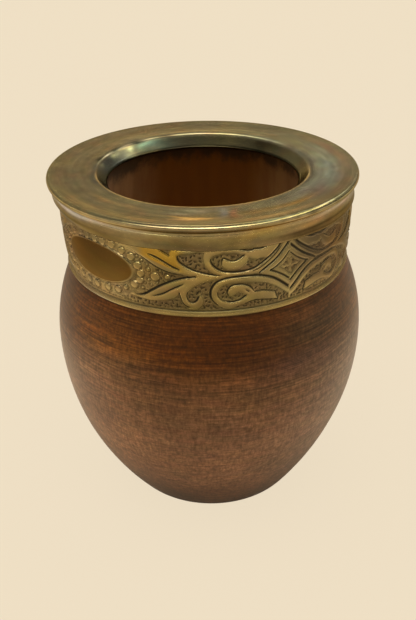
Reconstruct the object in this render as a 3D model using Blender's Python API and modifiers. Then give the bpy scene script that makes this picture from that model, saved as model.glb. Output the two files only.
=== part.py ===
"""Empty mate cup: a round-bellied cup of turned wood with a wide chased brass collar.

The cup stands on its flat foot at the origin, +Z runs up its axis, and its front faces -Y.
Places on the collar are given as an angle in degrees from the front towards +X and a height
above the foot.
"""

import math

import bmesh
import bpy
from mathutils import Vector

MM = 0.001

# Round pieces
TURN_STEPS = 56
MERGE_DISTANCE = 0.01 * MM
SHARP_ANGLE = math.radians(38)
FIT_GAP = 0.3 * MM

# Wood body, outside
BELLY_RADIUS = 43.6 * MM
BELLY_HEIGHT = 48.5 * MM
FOOT_TAPER = 17.2 * MM
FOOT_EDGE_RADIUS = 2.7 * MM
FOOT_SIDE_HEIGHT = 4.0 * MM
SHOULDER_TAPER = 5.54 * MM
SHOULDER_POWER = 2.1
NECK_RADIUS = 37.0 * MM
NECK_TOP = 94.0 * MM

# Wood body, hollow
MOUTH_BORE_RADIUS = 27.4 * MM
MOUTH_EDGE_RADIUS = 1.0 * MM
HOLLOW_RADIUS = 31.0 * MM
HOLLOW_WIDEST_HEIGHT = 50.0 * MM
HOLLOW_FLOOR = 14.0 * MM
HOLLOW_POWER = 2.6

# Chased band
BAND_FOOT = 71.9 * MM
BAND_TOP_RADIUS = 39.15 * MM
BAND_FOOT_TAPER = 1.0 * MM
BAND_INNER_RADIUS = 37.3 * MM
TUCKED_RADIUS = 38.2 * MM
TUCKED_TOP = 90.5 * MM
FIELD_DEPTH = 0.25 * MM
BORDER_GROOVE_HEIGHT = 73.6 * MM
BORDER_GROOVE_WIDTH = 0.7 * MM
BORDER_GROOVE_DEPTH = 0.45 * MM
BORDER_EDGE_WIDTH = 0.7 * MM
BORDER_EDGE_RISE = 0.12 * MM

# Rim: lip, plate, bead and skirt
RIM_PLANE = 95.3 * MM
RIM_OFFSET = -0.8 * MM
LIP_CENTRE_RADIUS = 28.3 * MM
LIP_DROP = 2.5 * MM
LIP_WIDTH = 2.9 * MM
LIP_RISE = 0.65 * MM
LIP_POWER = 2.4
LIP_THICKNESS = 0.8 * MM
PLATE_DIP_RADIUS = 35.0 * MM
PLATE_DIP = 0.15 * MM
PLATE_UNDERSIDE_DROP = 0.95 * MM
BEAD_CENTRE_RADIUS = 40.0 * MM
BEAD_RADIUS = 1.0 * MM
SKIRT_NECK_RADIUS = 39.1 * MM
SKIRT_NECK_DROP = 1.9 * MM
SKIRT_FLARE_RADIUS = 39.45 * MM
SKIRT_FLARE_DROP = 4.7 * MM
SKIRT_HEM_RADIUS = 39.4 * MM
SKIRT_HEM_DROP = 5.5 * MM
SKIRT_EDGE_RADIUS = 39.18 * MM
SKIRT_EDGE_DROP = 5.9 * MM
SKIRT_INNER_RADIUS = 38.5 * MM
SHIFT_START_DROP = 4.5 * MM
SHIFT_END_DROP = 2.5 * MM
BAND_TOP_EDGE = RIM_PLANE - SKIRT_EDGE_DROP - FIT_GAP

# Chasing: lozenges, each with scrolls on both sides, and plain ovals in a ring of small bosses
LOZENGE_TURNS = (30.0, 177.0, 243.0)
OVAL_TURNS = (-43.5, 103.5)
ORNAMENT_HEIGHT = 82.6 * MM
LOZENGE_SIZES = ((11.4, 6.0 * MM), (7.3, 3.7 * MM), (4.0, 1.9 * MM))
LOZENGE_POWER = 0.93
OVAL_HALF_WIDTH = 17.3
OVAL_HALF_HEIGHT = 5.0 * MM
LINE_RADIUS = 0.4 * MM
LINE_SINK = 0.15 * MM
RIBBON_RADIUS = 0.6 * MM
RIBBON_SINK = 0.35 * MM
BOSS_RADIUS = 1.0 * MM
BOSS_HALF_DEPTH = 0.5 * MM
BOSS_SINK = 0.2 * MM
BOSS_COUNT = 18
BOSS_RING_HALF_WIDTH = 20.0
BOSS_RING_HALF_HEIGHT = 5.9 * MM
BOSS_RING_HEIGHT = 82.1 * MM
BOSS_RING_POWER = 2.6

# Routes beside a lozenge: degrees away from its middle, and height in mm
UPPER_SCROLL = (
    (4.5, 88.2),
    (9.0, 86.2),
    (13.5, 84.2),
    (19.5, 83.1),
    (25.5, 83.4),
    (29.3, 85.2),
    (30.0, 88.0),
)
LOWER_SCROLL = (
    (2.5, 76.4),
    (8.0, 79.7),
    (15.0, 81.2),
    (21.5, 81.4),
    (26.4, 80.3),
    (28.1, 77.9),
    (25.8, 75.3),
    (19.5, 75.1),
)
UPPER_CURL = ((21.0, 88.1), (23.8, 86.6), (22.3, 85.2), (17.5, 85.3))
LOWER_CURL = ((15.0, 78.6), (19.5, 79.6), (22.8, 78.5), (20.4, 77.0))
UPPER_LEAF = ((35.5, 82.9), (42.0, 83.6), (48.5, 85.3), (55.0, 88.1))
LOWER_LEAF = ((35.5, 82.2), (42.0, 81.2), (48.5, 78.8), (55.0, 76.2))
HOOK = ((33.0, 77.6), (31.8, 75.9), (34.5, 74.8), (38.2, 75.8), (39.6, 78.2))

# Colour, roughness and metallic value
BRASS_FINISH = ((0.56, 0.43, 0.18, 1.0), 0.3, 1.0)
CHASED_BRASS_FINISH = ((0.47, 0.35, 0.13, 1.0), 0.38, 1.0)
WOOD_FINISH = ((0.17, 0.066, 0.036, 1.0), 0.42, 0.0)


def clear_scene():
    for obj in list(bpy.data.objects):
        bpy.data.objects.remove(obj, do_unlink=True)


def new_collection(name):
    collection = bpy.data.collections.new(name)
    bpy.context.scene.collection.children.link(collection)
    return collection


def finish_material(name, finish):
    colour, roughness, metallic = finish
    material = bpy.data.materials.new(name)
    material.use_nodes = True
    shader = material.node_tree.nodes["Principled BSDF"]
    shader.inputs["Base Color"].default_value = colour
    shader.inputs["Roughness"].default_value = roughness
    shader.inputs["Metallic"].default_value = metallic
    return material


def spread(start, end, count):
    """Evenly spaced values, both ends included."""
    return [start + (end - start) * step / (count - 1) for step in range(count)]


def arc(centre, radius, start, end, count):
    """Profile points of an arc, with angles in degrees from straight outwards."""
    return [
        (
            centre[0] + radius * math.cos(math.radians(angle)),
            centre[1] + radius * math.sin(math.radians(angle)),
        )
        for angle in spread(start, end, count)
    ]


def oval_quarter(centre, width, height, power, count):
    """Profile points of a squarish oval's inner upper quarter, from its side up to its top."""
    return [
        (
            centre[0] - width * math.cos(angle) ** (2 / power),
            centre[1] + height * math.sin(angle) ** (2 / power),
        )
        for angle in spread(0.0, math.pi / 2, count)
    ]


def rounded_corner(before, corner, after, radius, count):
    """Profile points of an arc that touches both lines through the corner."""
    corner = Vector(corner)
    back = (Vector(before) - corner).normalized()
    ahead = (Vector(after) - corner).normalized()
    half_angle = back.angle(ahead) / 2
    centre = corner + (back + ahead).normalized() * radius / math.sin(half_angle)
    reach = radius / math.tan(half_angle)
    first = corner + back * reach - centre
    last = corner + ahead * reach - centre
    points = []
    for share in spread(0.0, 1.0, count):
        offset = first.lerp(last, share).normalized() * radius
        points.append(tuple(centre + offset))
    return points


def turned(name, profile, closed, collection, material):
    """A piece turned round the Z axis. The profile runs down its outer side."""
    mesh = bpy.data.meshes.new(name)
    shape = bmesh.new()
    points = [shape.verts.new((radius, 0.0, height)) for radius, height in profile]
    for first, second in zip(points, points[1:]):
        shape.edges.new((first, second))
    if closed:
        shape.edges.new((points[-1], points[0]))
    shape.to_mesh(mesh)
    shape.free()
    piece = bpy.data.objects.new(name, mesh)
    collection.objects.link(piece)
    mesh.materials.append(material)
    screw = piece.modifiers.new("Turn", "SCREW")
    screw.angle = math.tau
    screw.steps = TURN_STEPS
    screw.render_steps = TURN_STEPS
    screw.use_merge_vertices = True
    screw.merge_threshold = MERGE_DISTANCE
    return piece


def settle(piece):
    """Turns the modifiers' result into the piece's own mesh, shaded smooth between its sharp edges."""
    bpy.context.view_layer.update()
    evaluated = piece.evaluated_get(bpy.context.evaluated_depsgraph_get())
    mesh = bpy.data.meshes.new_from_object(evaluated)
    piece.modifiers.clear()
    rough_mesh = piece.data
    piece.data = mesh
    bpy.data.meshes.remove(rough_mesh)
    mesh.name = piece.name
    mesh.shade_smooth()
    mesh.set_sharp_from_angle(angle=SHARP_ANGLE)


def body_radius(height):
    """The wood's outer radius: fullest at the belly, drawn in to the foot and to the collar."""
    if height < BELLY_HEIGHT:
        return BELLY_RADIUS - FOOT_TAPER * ((BELLY_HEIGHT - height) / BELLY_HEIGHT) ** 2
    rise = (height - BELLY_HEIGHT) / (BAND_FOOT - BELLY_HEIGHT)
    return BELLY_RADIUS - SHOULDER_TAPER * rise**SHOULDER_POWER


def hollow_radius(height):
    """The hollow's radius: a rounded floor, widest at mid height, a little narrower at the mouth."""
    if height < HOLLOW_WIDEST_HEIGHT:
        fall = (HOLLOW_WIDEST_HEIGHT - height) / (HOLLOW_WIDEST_HEIGHT - HOLLOW_FLOOR)
        return HOLLOW_RADIUS * max(1 - fall**HOLLOW_POWER, 0.0) ** (1 / HOLLOW_POWER)
    rise = (height - HOLLOW_WIDEST_HEIGHT) / (NECK_TOP - HOLLOW_WIDEST_HEIGHT)
    return HOLLOW_RADIUS - (HOLLOW_RADIUS - MOUTH_BORE_RADIUS) * rise**2


def body_profile():
    depth = HOLLOW_WIDEST_HEIGHT - HOLLOW_FLOOR
    profile = [(0.0, HOLLOW_FLOOR)]
    for angle in spread(math.radians(14), math.radians(76), 5):
        height = HOLLOW_WIDEST_HEIGHT - depth * math.cos(angle) ** (2 / HOLLOW_POWER)
        profile.append((hollow_radius(height), height))
    for height in spread(HOLLOW_WIDEST_HEIGHT, NECK_TOP - 2 * MOUTH_EDGE_RADIUS, 3):
        profile.append((hollow_radius(height), height))
    bore_line = (MOUTH_BORE_RADIUS, NECK_TOP - 2 * MOUTH_EDGE_RADIUS)
    mouth_corner = (MOUTH_BORE_RADIUS, NECK_TOP)
    neck_corner = (NECK_RADIUS, NECK_TOP)
    profile += rounded_corner(bore_line, mouth_corner, neck_corner, MOUTH_EDGE_RADIUS, 3)
    profile.append(neck_corner)
    shoulder_height = BAND_FOOT - FIT_GAP
    profile.append((NECK_RADIUS, shoulder_height))
    for height in spread(shoulder_height, 1.5 * FOOT_SIDE_HEIGHT, 13):
        profile.append((body_radius(height), height))
    side_line = (body_radius(FOOT_SIDE_HEIGHT), FOOT_SIDE_HEIGHT)
    foot_corner = (body_radius(0.0), 0.0)
    profile += rounded_corner(side_line, foot_corner, (0.0, 0.0), FOOT_EDGE_RADIUS, 3)
    profile.append((0.0, 0.0))
    return profile


def rim_profile():
    """The rim's section: rolled lip, dished plate, bead, and the skirt over the band's top."""
    lip_centre = (LIP_CENTRE_RADIUS, RIM_PLANE - LIP_DROP)
    underside = RIM_PLANE - PLATE_UNDERSIDE_DROP
    profile = oval_quarter(lip_centre, LIP_WIDTH, LIP_DROP + LIP_RISE, LIP_POWER, 6)
    profile.append((PLATE_DIP_RADIUS, RIM_PLANE - PLATE_DIP))
    profile += arc((BEAD_CENTRE_RADIUS, RIM_PLANE), BEAD_RADIUS, 165, -115, 11)
    for share in spread(0.0, 1.0, 3):
        radius = SKIRT_NECK_RADIUS + (SKIRT_FLARE_RADIUS - SKIRT_NECK_RADIUS) * share
        drop = SKIRT_NECK_DROP + (SKIRT_FLARE_DROP - SKIRT_NECK_DROP) * share
        profile.append((radius, RIM_PLANE - drop))
    profile.append((SKIRT_HEM_RADIUS, RIM_PLANE - SKIRT_HEM_DROP))
    profile.append((SKIRT_EDGE_RADIUS, RIM_PLANE - SKIRT_EDGE_DROP))
    profile.append((SKIRT_INNER_RADIUS, RIM_PLANE - SKIRT_EDGE_DROP))
    profile.append((SKIRT_INNER_RADIUS, RIM_PLANE - SHIFT_START_DROP))
    profile.append((SKIRT_INNER_RADIUS, RIM_PLANE - SHIFT_END_DROP))
    profile.append((SKIRT_INNER_RADIUS, underside))
    lip_back = oval_quarter(
        lip_centre,
        LIP_WIDTH - LIP_THICKNESS,
        LIP_DROP - PLATE_UNDERSIDE_DROP,
        LIP_POWER,
        4,
    )
    profile += reversed(lip_back)
    return profile


def shift_rim(mesh):
    """The plate, lip and bead sit a little off centre, so the skirt leans where it meets them."""
    for vertex in mesh.vertices:
        drop = RIM_PLANE - vertex.co.z
        share = (SHIFT_START_DROP - drop) / (SHIFT_START_DROP - SHIFT_END_DROP)
        share = min(max(share, 0.0), 1.0)
        vertex.co.x += RIM_OFFSET * share * share * (3 - 2 * share)


def band_radius(height):
    """The band's radius at its raised level, a little wider at the top."""
    fall = (BAND_TOP_EDGE - height) / (BAND_TOP_EDGE - BAND_FOOT)
    return BAND_TOP_RADIUS - BAND_FOOT_TAPER * fall**2


def band_profile():
    groove_top = BORDER_GROOVE_HEIGHT + BORDER_GROOVE_WIDTH / 2
    groove_foot = BORDER_GROOVE_HEIGHT - BORDER_GROOVE_WIDTH / 2
    edge_top = BAND_FOOT + BORDER_EDGE_WIDTH
    edge_middle = BAND_FOOT + BORDER_EDGE_WIDTH / 2
    profile = [(TUCKED_RADIUS, TUCKED_TOP), (TUCKED_RADIUS, BAND_TOP_EDGE)]
    for height in spread(BAND_TOP_EDGE, groove_top, 6):
        profile.append((band_radius(height) - FIELD_DEPTH, height))
    profile.append((band_radius(BORDER_GROOVE_HEIGHT) - BORDER_GROOVE_DEPTH, BORDER_GROOVE_HEIGHT))
    profile.append((band_radius(groove_foot), groove_foot))
    profile.append((band_radius(edge_top), edge_top))
    profile.append((band_radius(edge_middle) + BORDER_EDGE_RISE, edge_middle))
    profile.append((band_radius(BAND_FOOT), BAND_FOOT))
    profile.append((BAND_INNER_RADIUS, BAND_FOOT))
    profile.append((BAND_INNER_RADIUS, TUCKED_TOP))
    return profile


def on_band(turn, height, sink):
    """The point that lies sunk below the band's field at an angle from the front and a height."""
    radius = band_radius(height) - FIELD_DEPTH - sink
    angle = math.radians(turn)
    return Vector((radius * math.sin(angle), -radius * math.cos(angle), height))


def smooth_path(points, steps):
    """Points on a smooth line through the given ones, which are an angle and a height in mm."""
    known = [Vector((turn, height * MM)) for turn, height in points]
    ends = [2 * known[0] - known[1]] + known + [2 * known[-1] - known[-2]]
    path = []
    for a, b, c, d in zip(ends, ends[1:], ends[2:], ends[3:]):
        for step in range(steps):
            t = step / steps
            bend = (2 * a - 5 * b + 4 * c - d) * t**2 + (3 * b - a - 3 * c + d) * t**3
            path.append(b + ((c - a) * t + bend) / 2)
    return path + [known[-1]]


def closed_outline(half_width, half_height, power, count):
    """An outline about (0, 0): an oval at power 2, and a lozenge with hollow sides below power 1."""
    outline = []
    for step in range(count):
        angle = math.tau * step / count
        across, up = math.cos(angle), math.sin(angle)
        across = math.copysign(abs(across) ** (2 / power), across)
        up = math.copysign(abs(up) ** (2 / power), up)
        outline.append(Vector((half_width * across, half_height * up)))
    return outline


def raised_line(name, path, radius, sink, closed, collection):
    """A round bar along the path, partly sunk in the band, as a closed mesh."""
    curve = bpy.data.curves.new(name, "CURVE")
    curve.dimensions = "3D"
    curve.bevel_depth = radius
    curve.bevel_resolution = 0
    curve.use_fill_caps = not closed
    spline = curve.splines.new("POLY")
    spline.points.add(len(path) - 1)
    spline.use_cyclic_u = closed
    for point, (turn, height) in zip(spline.points, path):
        point.co = (*on_band(turn, height, sink), 1.0)
    guide = bpy.data.objects.new(name, curve)
    collection.objects.link(guide)
    bpy.context.view_layer.update()
    evaluated = guide.evaluated_get(bpy.context.evaluated_depsgraph_get())
    mesh = bpy.data.meshes.new_from_object(evaluated)
    bpy.data.objects.remove(guide)
    bpy.data.curves.remove(curve)
    shape = bmesh.new()
    shape.from_mesh(mesh)
    bmesh.ops.remove_doubles(shape, verts=shape.verts, dist=MERGE_DISTANCE)
    shape.to_mesh(mesh)
    shape.free()
    helper_object(name, mesh, collection)


def boss(turn, height, collection):
    """A small flattened ball, partly sunk in the band, so that a low dome stands out."""
    mesh = bpy.data.meshes.new("boss")
    shape = bmesh.new()
    bmesh.ops.create_uvsphere(shape, u_segments=6, v_segments=4, radius=BOSS_RADIUS)
    flattening = (1.0, 1.0, BOSS_HALF_DEPTH / BOSS_RADIUS)
    bmesh.ops.scale(shape, verts=shape.verts, vec=flattening)
    bmesh.ops.rotate(shape, verts=shape.verts, matrix=facing_matrix(turn))
    bmesh.ops.translate(shape, verts=shape.verts, vec=on_band(turn, height, BOSS_SINK))
    shape.to_mesh(mesh)
    shape.free()
    helper_object("boss", mesh, collection)


def facing_matrix(turn):
    """Turns a shape's own +Z to point out of the band at an angle from the front."""
    outwards = on_band(turn, 0.0, 0.0).normalized()
    return outwards.to_track_quat("Z", "Y").to_matrix()


def helper_object(name, mesh, collection):
    helper = bpy.data.objects.new(name, mesh)
    helper.hide_render = True
    helper.display_type = "WIRE"
    collection.objects.link(helper)


def add_lozenge(centre_turn, collection):
    """Three nested lozenges with slightly hollow sides."""
    for half_width, half_height in LOZENGE_SIZES:
        path = [
            (centre_turn + point.x, ORNAMENT_HEIGHT + point.y)
            for point in closed_outline(half_width, half_height, LOZENGE_POWER, 8)
        ]
        raised_line("lozenge", path, LINE_RADIUS, LINE_SINK, True, collection)


def add_scrolls(centre_turn, side, collection):
    """The two C scrolls beside a lozenge, each with its curled tip."""
    for route, radius, sink in (
        (UPPER_SCROLL, RIBBON_RADIUS, RIBBON_SINK),
        (LOWER_SCROLL, RIBBON_RADIUS, RIBBON_SINK),
        (UPPER_CURL, LINE_RADIUS, LINE_SINK),
        (LOWER_CURL, LINE_RADIUS, LINE_SINK),
    ):
        path = [(centre_turn + side * turn, height) for turn, height in smooth_path(route, 2)]
        raised_line("scroll", path, radius, sink, False, collection)


def add_leaves(centre_turn, side, collection):
    """The leaf edges and the hook between a scroll and the next oval."""
    for route, radius, sink in (
        (UPPER_LEAF, LINE_RADIUS, LINE_SINK),
        (LOWER_LEAF, LINE_RADIUS, LINE_SINK),
        (HOOK, LINE_RADIUS, LINE_SINK),
    ):
        path = [(centre_turn + side * turn, height) for turn, height in smooth_path(route, 2)]
        raised_line("leaf", path, radius, sink, False, collection)


def add_oval(centre_turn, collection):
    """The plain oval's raised edge and the ring of small bosses round it."""
    edge = [
        (centre_turn + point.x, ORNAMENT_HEIGHT + point.y)
        for point in closed_outline(OVAL_HALF_WIDTH, OVAL_HALF_HEIGHT, 2.0, 24)
    ]
    raised_line("oval", edge, LINE_RADIUS, LINE_SINK, True, collection)
    ring = closed_outline(BOSS_RING_HALF_WIDTH, BOSS_RING_HALF_HEIGHT, BOSS_RING_POWER, BOSS_COUNT)
    for point in ring:
        boss(centre_turn + point.x, BOSS_RING_HEIGHT + point.y, collection)


def build_body(collection):
    material = finish_material("turned_wood", WOOD_FINISH)
    settle(turned("wood_body", body_profile(), False, collection, material))


def build_rim(collection):
    material = finish_material("brass_sheet", BRASS_FINISH)
    rim = turned("brass_rim", rim_profile(), True, collection, material)
    settle(rim)
    shift_rim(rim.data)


def build_band(collection):
    material = finish_material("chased_brass", CHASED_BRASS_FINISH)
    band = turned("chased_band", band_profile(), True, collection, material)
    chasing = new_collection("chasing")
    for centre_turn in LOZENGE_TURNS:
        add_lozenge(centre_turn, chasing)
        add_scrolls(centre_turn, -1, chasing)
        add_scrolls(centre_turn, 1, chasing)
    add_leaves(LOZENGE_TURNS[0], -1, chasing)
    add_leaves(LOZENGE_TURNS[0], 1, chasing)
    add_leaves(LOZENGE_TURNS[1], -1, chasing)
    add_leaves(LOZENGE_TURNS[2], 1, chasing)
    for centre_turn in OVAL_TURNS:
        add_oval(centre_turn, chasing)
    join = band.modifiers.new("Join the chasing", "BOOLEAN")
    join.operation = "UNION"
    join.operand_type = "COLLECTION"
    join.collection = chasing
    join.solver = "EXACT"
    settle(band)
    for helper in list(chasing.objects):
        bpy.data.objects.remove(helper, do_unlink=True)
    bpy.data.collections.remove(chasing)


def main():
    clear_scene()
    cup = new_collection("mate_cup")
    build_body(cup)
    build_rim(cup)
    build_band(cup)


main()
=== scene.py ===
import math

import bpy
import numpy as np
from mathutils import Matrix


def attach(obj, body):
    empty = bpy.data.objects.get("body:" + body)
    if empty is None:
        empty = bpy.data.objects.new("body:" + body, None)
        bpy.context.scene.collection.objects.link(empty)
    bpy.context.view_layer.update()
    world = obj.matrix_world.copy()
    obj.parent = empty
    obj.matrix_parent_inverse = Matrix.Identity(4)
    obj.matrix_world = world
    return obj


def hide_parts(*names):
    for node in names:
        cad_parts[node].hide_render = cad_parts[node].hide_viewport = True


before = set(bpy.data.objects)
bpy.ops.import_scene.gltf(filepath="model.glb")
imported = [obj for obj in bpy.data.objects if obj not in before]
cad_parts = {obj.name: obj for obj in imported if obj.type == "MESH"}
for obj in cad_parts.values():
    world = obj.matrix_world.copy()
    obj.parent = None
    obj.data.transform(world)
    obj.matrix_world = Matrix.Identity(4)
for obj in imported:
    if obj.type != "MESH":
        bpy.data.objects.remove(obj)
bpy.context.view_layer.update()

# Lengths are in millimetres until a mesh is made. The tables' turns are degrees from the front towards +X.
MM = 0.001

# Camera, its place in metres, fitted to the photograph's 416 x 620 pixels
CAMERA_PLACE = (-0.00032, -0.1907, 0.1622)
CAMERA_PITCH = 30.17
CAMERA_ROLL = -1
CAMERA_LENS = 43.415
SENSOR_WIDTH = 36

# Wood body
BELLY_RADIUS = 43.55
BELLY_HEIGHT = 48.5
FOOT_TAPER = 16.7
FOOT_POWER = 2
FOOT_EDGE_RADIUS = 1.2
FOOT_SIDE_HEIGHT = 4
FOOT_LEAN = 0.28
LOW_LEAN = -0.18
TURNING_DEPTH = 0.022
CUP_UNEVENNESS = 0.03
CUP_STEPS = 300
SHOULDER_TAPER = 5.54
SHOULDER_POWER = 2.1
NECK_RADIUS = 37
NECK_TOP = 94
NECK_FOOT = 71.6
BORE_RADIUS = 27.4
HOLLOW_RADIUS = 31
HOLLOW_MIDDLE = 50
HOLLOW_FLOOR = 14
HOLLOW_POWER = 2.6

# Chased band: its offsets are sideways, at its foot and its top, and DEGREE is a degree's length on it
BAND_FOOT = 71.7
BAND_TOP = 89.3
BAND_TOP_RADIUS = 39.15
BAND_FOOT_TAPER = 0.75
TAPER_START = 89.1
TAPER_HEIGHT = 17.2
BAND_INNER_RADIUS = 37.3
BAND_OFFSETS = (-0.2, -0.45)
DEGREE = 0.6754

# Rim: its profile is radius and rise above the rim's plane
RIM_PLANE = 95.3
RIM_OFFSET = -1.1
BEAD_CENTRE = 40
BEAD_RADIUS = 0.97
BEAD_TOP_RADIUS = 0.5
BEAD_TOP_END = 58
SKIRT_HEM_DROP = 5.9
SKIRT_INSIDE = 38.9
TOP_DROP = 0.9
LIP_SIDE = (
    (26.1, -2.95), (25.68, -2.94), (25.46, -2.8), (25.42, -2.58), (25.6, -2.28), (26.1, -1.76),
    (26.7, -1.16), (27.3, -0.56), (27.8, -0.06), (28.12, 0.24), (28.5, 0.45), (29, 0.56),
)
PLATE = (
    (29.7, 0.61), (30.6, 0.63), (32, 0.62), (34, 0.6), (36, 0.63), (37.4, 0.7), (38.6, 0.775),
    (39.5, 0.84),
)
SKIRT = (
    (40.12, -1.1), (39.93, -1.33), (39.92, -1.62), (39.98, -2), (40.01, -2.4), (39.99, -2.9),
    (39.93, -3.6), (39.82, -4.4), (39.67, -5.2), (39.48, -SKIRT_HEM_DROP),
)
PLAIN_BACK = ((38.5, -SKIRT_HEM_DROP), (38.5, -3.5), (38.5, -0.95), (34, -0.7), (30.6, -0.5))
LIP_INSET = (0.9, -0.63)
DENT_DEPTH = 0.29
CREASE_DEPTH = 0.03
PLATE_WAVE = 0.07
RIM_WAVE = 0.05
SKIRT_WAVE = 0.07
RIM_STEPS = 600

# Seam: its section is out and up from its line
SEAM_RADIUS = 38.74
SEAM_HEIGHT = 89.28
SEAM_SINK = 0.28
SEAM_WAVE = 0.06
SEAM_STEPS = 720
SEAM_SECTION = (
    (0, -0.34), (0.24, -0.24), (0.32, 0), (0.24, 0.24), (0, 0.34), (-0.5, 0.3), (-0.5, -0.3),
)

# Stains and painted light on the rim: real stains, with painted reflections and painted highlights on the
# plate, bead and skirt, and painted shade in the dark line under the bead. Each is a turn, reach from the
# axis (41 and the drop below the rim's plane for the bead and the skirt), their spreads, their share and
# the colour that they take the brass towards
RIM_STAINS_AND_PAINTED_LIGHT = (
    (0, 34, 900, 8, 0.9, (1.04, 1.12, 1.45)),
    (27, 40.4, 1.8, 1, 0.9, (0.4, 0.34, 0.24)),
    (33.5, 40.4, 1.6, 1, 0.9, (0.3, 0.26, 0.18)),
    (39.5, 40.4, 1.8, 1, 0.9, (0.3, 0.26, 0.18)),
    (52, 40.4, 2.2, 1, 0.9, (0.34, 0.29, 0.2)),
    (-32, 33.5, 20, 4, 0.7, (1.1, 1.2, 1.45)),
    (0, 40.3, 80, 0.6, 0.7, (1, 1.16, 1.32)),
    (-152, 36, 24, 4, 0.6, (0.84, 0.76, 0.9)),
    (152, 36, 24, 4, 0.6, (0.8, 0.87, 1.14)),
    (0, 36, 70, 4, 0.8, (0.95, 0.98, 1.12)),
    (0, 45.6, 48, 1.1, 0.8, (0.88, 0.87, 0.76)),
    (88, 32.8, 36, 5, 1, (1.22, 1.72, 3.15)),
    (140, 31, 30, 3.5, 0.9, (1.1, 1.35, 1.85)),
    (-145, 31, 34, 3, 0.9, (1.12, 1.35, 1.9)),
    (-90, 31.5, 30, 2.5, 0.7, (1, 1, 1.25)),
    (-110, 37.5, 50, 2, 0.7, (1.15, 1.06, 1.25)),
    (-44, 33.2, 13, 1.2, 0.8, (1.7, 1.45, 1.4)),
    (36, 30.2, 14, 1.6, 0.9, (0.75, 0.85, 1.15)),
    (-5, 29.4, 12, 1, 0.8, (0.85, 0.88, 1)),
    (-5, 35.2, 7, 2, 0.8, (1.5, 1.32, 1.2)),
    (8, 32.5, 2.6, 3, 0.9, (1.05, 1.25, 2.6)),
    (13, 33.5, 2.4, 2.4, 0.8, (1.5, 1, 1.3)),
    (20, 34.6, 8, 1.4, 0.6, (1.1, 0.95, 0.9)),
    (40, 34.6, 13, 1.3, 0.9, (1.5, 1.18, 0.78)),
    (54, 34.6, 7, 2.6, 0.8, (0.92, 0.86, 1.55)),
    (105, 37.3, 22, 1.6, 0.9, (1.5, 1.3, 1.7)),
    (62, 38.2, 20, 1.3, 0.7, (0.9, 0.78, 0.95)),
    (133, 33.5, 4, 4, 0.7, (0.8, 1, 1.5)),
    (-18, 45, 4, 1.2, 0.7, (0.7, 0.74, 0.9)),
    (-10.5, 45.2, 2, 1, 0.5, (0.76, 0.8, 0.9)),
    (16.5, 44.6, 2.4, 1.5, 0.8, (0.55, 0.62, 0.85)),
    (2, 45.2, 3, 0.9, 0.4, (0.75, 0.8, 0.9)),
    (20, 43.2, 9, 1, 0.8, (1.1, 1, 0.6)),
    (40, 43.8, 6, 1, 0.9, (1.5, 1.12, 0.85)),
    (66, 42.9, 17, 1, 0.9, (1.35, 1.65, 3.3)),
    (-64, 42.6, 32, 0.95, 0.95, (1.5, 1.9, 4.3)),
    (0, 43.8, 34, 1.2, 0.6, (1, 0.98, 0.72)),
    (-42, 44.6, 20, 1, 0.7, (0.72, 0.68, 0.6)),
    (52, 44.9, 20, 0.9, 0.7, (0.68, 0.64, 0.6)),
    (6, 40, 42, 0.22, 0.75, (0.45, 0.44, 0.4)),
    (-62, 40.25, 26, 0.35, 0.8, (1.7, 1.8, 1.9)),
    (0, 41.5, 90, 0.3, 0.6, (0.72, 0.7, 0.55)),
    (-65, 41.8, 45, 0.35, 0.9, (0.36, 0.3, 0.24)),
    (70, 41.8, 40, 0.35, 0.8, (0.4, 0.36, 0.28)),
    (-95, 41, 60, 0.9, 0.4, (0.85, 0.88, 0.95)),
    (-70, 28.9, 26, 0.9, 0.9, (0.4, 0.5, 0.95)),
    (74, 28.9, 34, 0.9, 0.9, (0.42, 0.52, 1)),
    (-104, 28.5, 4.5, 0.8, 0.95, (0.16, 0.2, 0.26)),
    (-121, 28.5, 4.5, 0.8, 0.95, (0.14, 0.18, 0.24)),
    (-137, 28.5, 4.5, 0.8, 0.95, (0.16, 0.2, 0.26)),
    (-156, 28.5, 8, 0.8, 0.9, (0.3, 0.32, 0.34)),
)

# Stains and painted light on the lip's side of the mouth, by turn and drop: painted reflections, with
# bright bluish spots as painted highlights; and the lip face's own tone, darker partly by tarnish and
# partly as painted dark reflection
LIP_TARNISH_AND_SHADE = (0.44, 0.48, 0.52)
LIP_STAINS_AND_PAINTED_LIGHT = (
    (-95, 0, 50, 9, 1, (0.68, 0.86, 1.5)),
    (90, 0, 45, 9, 0.9, (1.65, 1.62, 1.7)),
    (-142, 0.4, 5, 0.9, 0.9, (2.3, 3.4, 4.6)),
    (-131, 0.3, 3, 0.6, 0.8, (2.7, 3.5, 4.4)),
    (-116, 0.2, 4, 0.6, 0.9, (3.2, 3.6, 4.2)),
    (-96, 0.4, 3, 0.7, 0.8, (2.7, 3.1, 3.9)),
    (138, 1, 6, 3, 0.8, (0.45, 0.42, 0.4)),
    (66, 0, 24, 0.8, 0.85, (0.45, 0.46, 0.6)),
    (160, 1, 8, 2, 0.6, (1.3, 1.3, 1.1)),
)
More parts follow.
